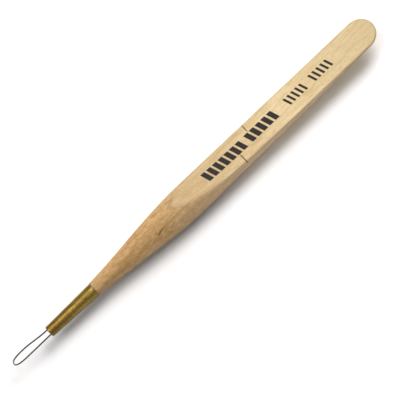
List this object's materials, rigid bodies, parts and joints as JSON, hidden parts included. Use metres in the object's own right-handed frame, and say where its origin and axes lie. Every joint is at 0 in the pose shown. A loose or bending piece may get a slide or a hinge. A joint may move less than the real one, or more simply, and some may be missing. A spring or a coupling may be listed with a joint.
{
  "type": "clay modelling tool",
  "caption": "Hand tool for clay: a turned wooden handle thinned to a round-nosed blade, with a small wire loop in a tapered brass ferrule at the other end.",
  "frame": {"origin": "middle of the tool's bounding box in X and Y, on the surface that the belly rests on", "axes": "+X along the tool from the wire loop to the blade's nose, +Z out of the blade's upper flat, +Y to the left of +X, in the plane of the flat and of the wire loop"},
  "size_m": [0.1524, 0.0114, 0.0104],
  "materials": {
    "handle_wood": "sanded bare hardwood, honey tan on the turned part and paler cream on the cut flats",
    "ferrule_brass": "brushed round its length, warm and slightly darkened",
    "filler": "hardened dark brown filler, matte",
    "loop_steel": "drawn spring wire with fine marks, grey"
  },
  "bodies": {
    "root": {"handle": "handle_wood", "ferrule": "ferrule_brass", "mouth_filler": "filler", "wire_loop": "loop_steel"}
  },
  "joints": []
}
